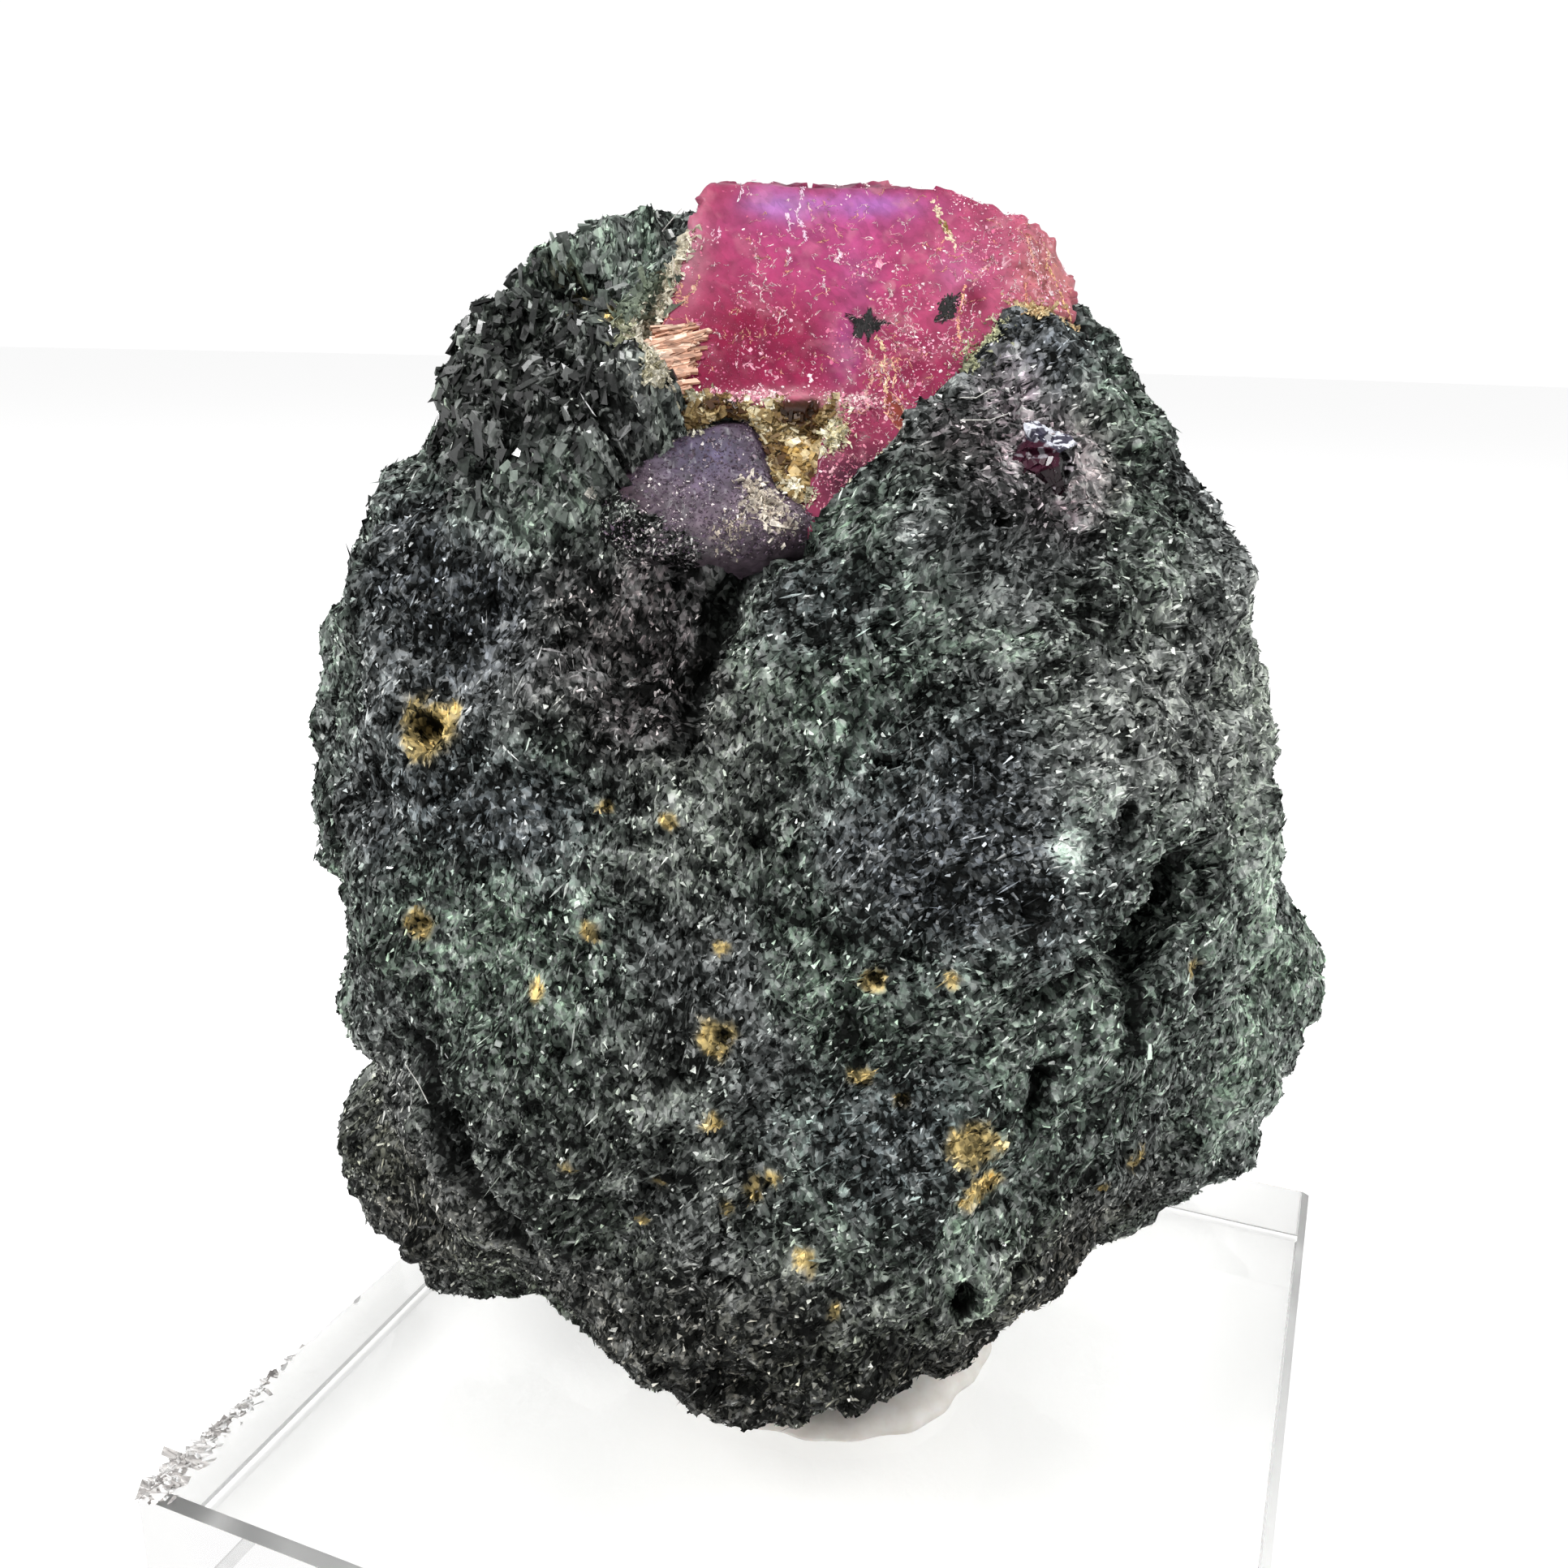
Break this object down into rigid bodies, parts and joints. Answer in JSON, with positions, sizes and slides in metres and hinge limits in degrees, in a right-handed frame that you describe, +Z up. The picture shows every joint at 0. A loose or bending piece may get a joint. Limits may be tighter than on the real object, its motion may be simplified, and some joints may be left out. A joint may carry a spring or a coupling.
{
  "type": "ruby crystal on matrix",
  "caption": "Ruby crystal grown into a rounded cobble of dark amphibole and mica rock, held by a disc of white tack on a square clear acrylic block.",
  "frame": {"origin": "centre of the acrylic block's underside", "axes": "+Z up; X and Y along the block's sides; the specimen's front looks between -Y and +X, 21.4 degrees from -Y"},
  "size_m": [0.0457, 0.045, 0.0609],
  "materials": {
    "clear_acrylic": "clear, polished faces and one sawn edge",
    "white_tack": "matte, pressed by hand",
    "amphibole_rock": "fine-grained, foliated, with glinting flakes",
    "ruby": "broken crystal, half clear, with pale flecks",
    "grey_corundum": "worn, waxy",
    "dark_corundum": "glassy, broken",
    "golden_mica": "leafy, glinting",
    "tan_mica": "striated"
  },
  "bodies": {
    "root": {"acrylic_block": "clear_acrylic", "mounting_putty": "white_tack", "matrix_rock": "amphibole_rock", "ruby_crystal": "ruby", "grey_corundum_crystal": "grey_corundum", "small_corundum_crystal": "dark_corundum", "mica_pocket": "golden_mica", "mica_patch": "tan_mica"}
  },
  "joints": []
}
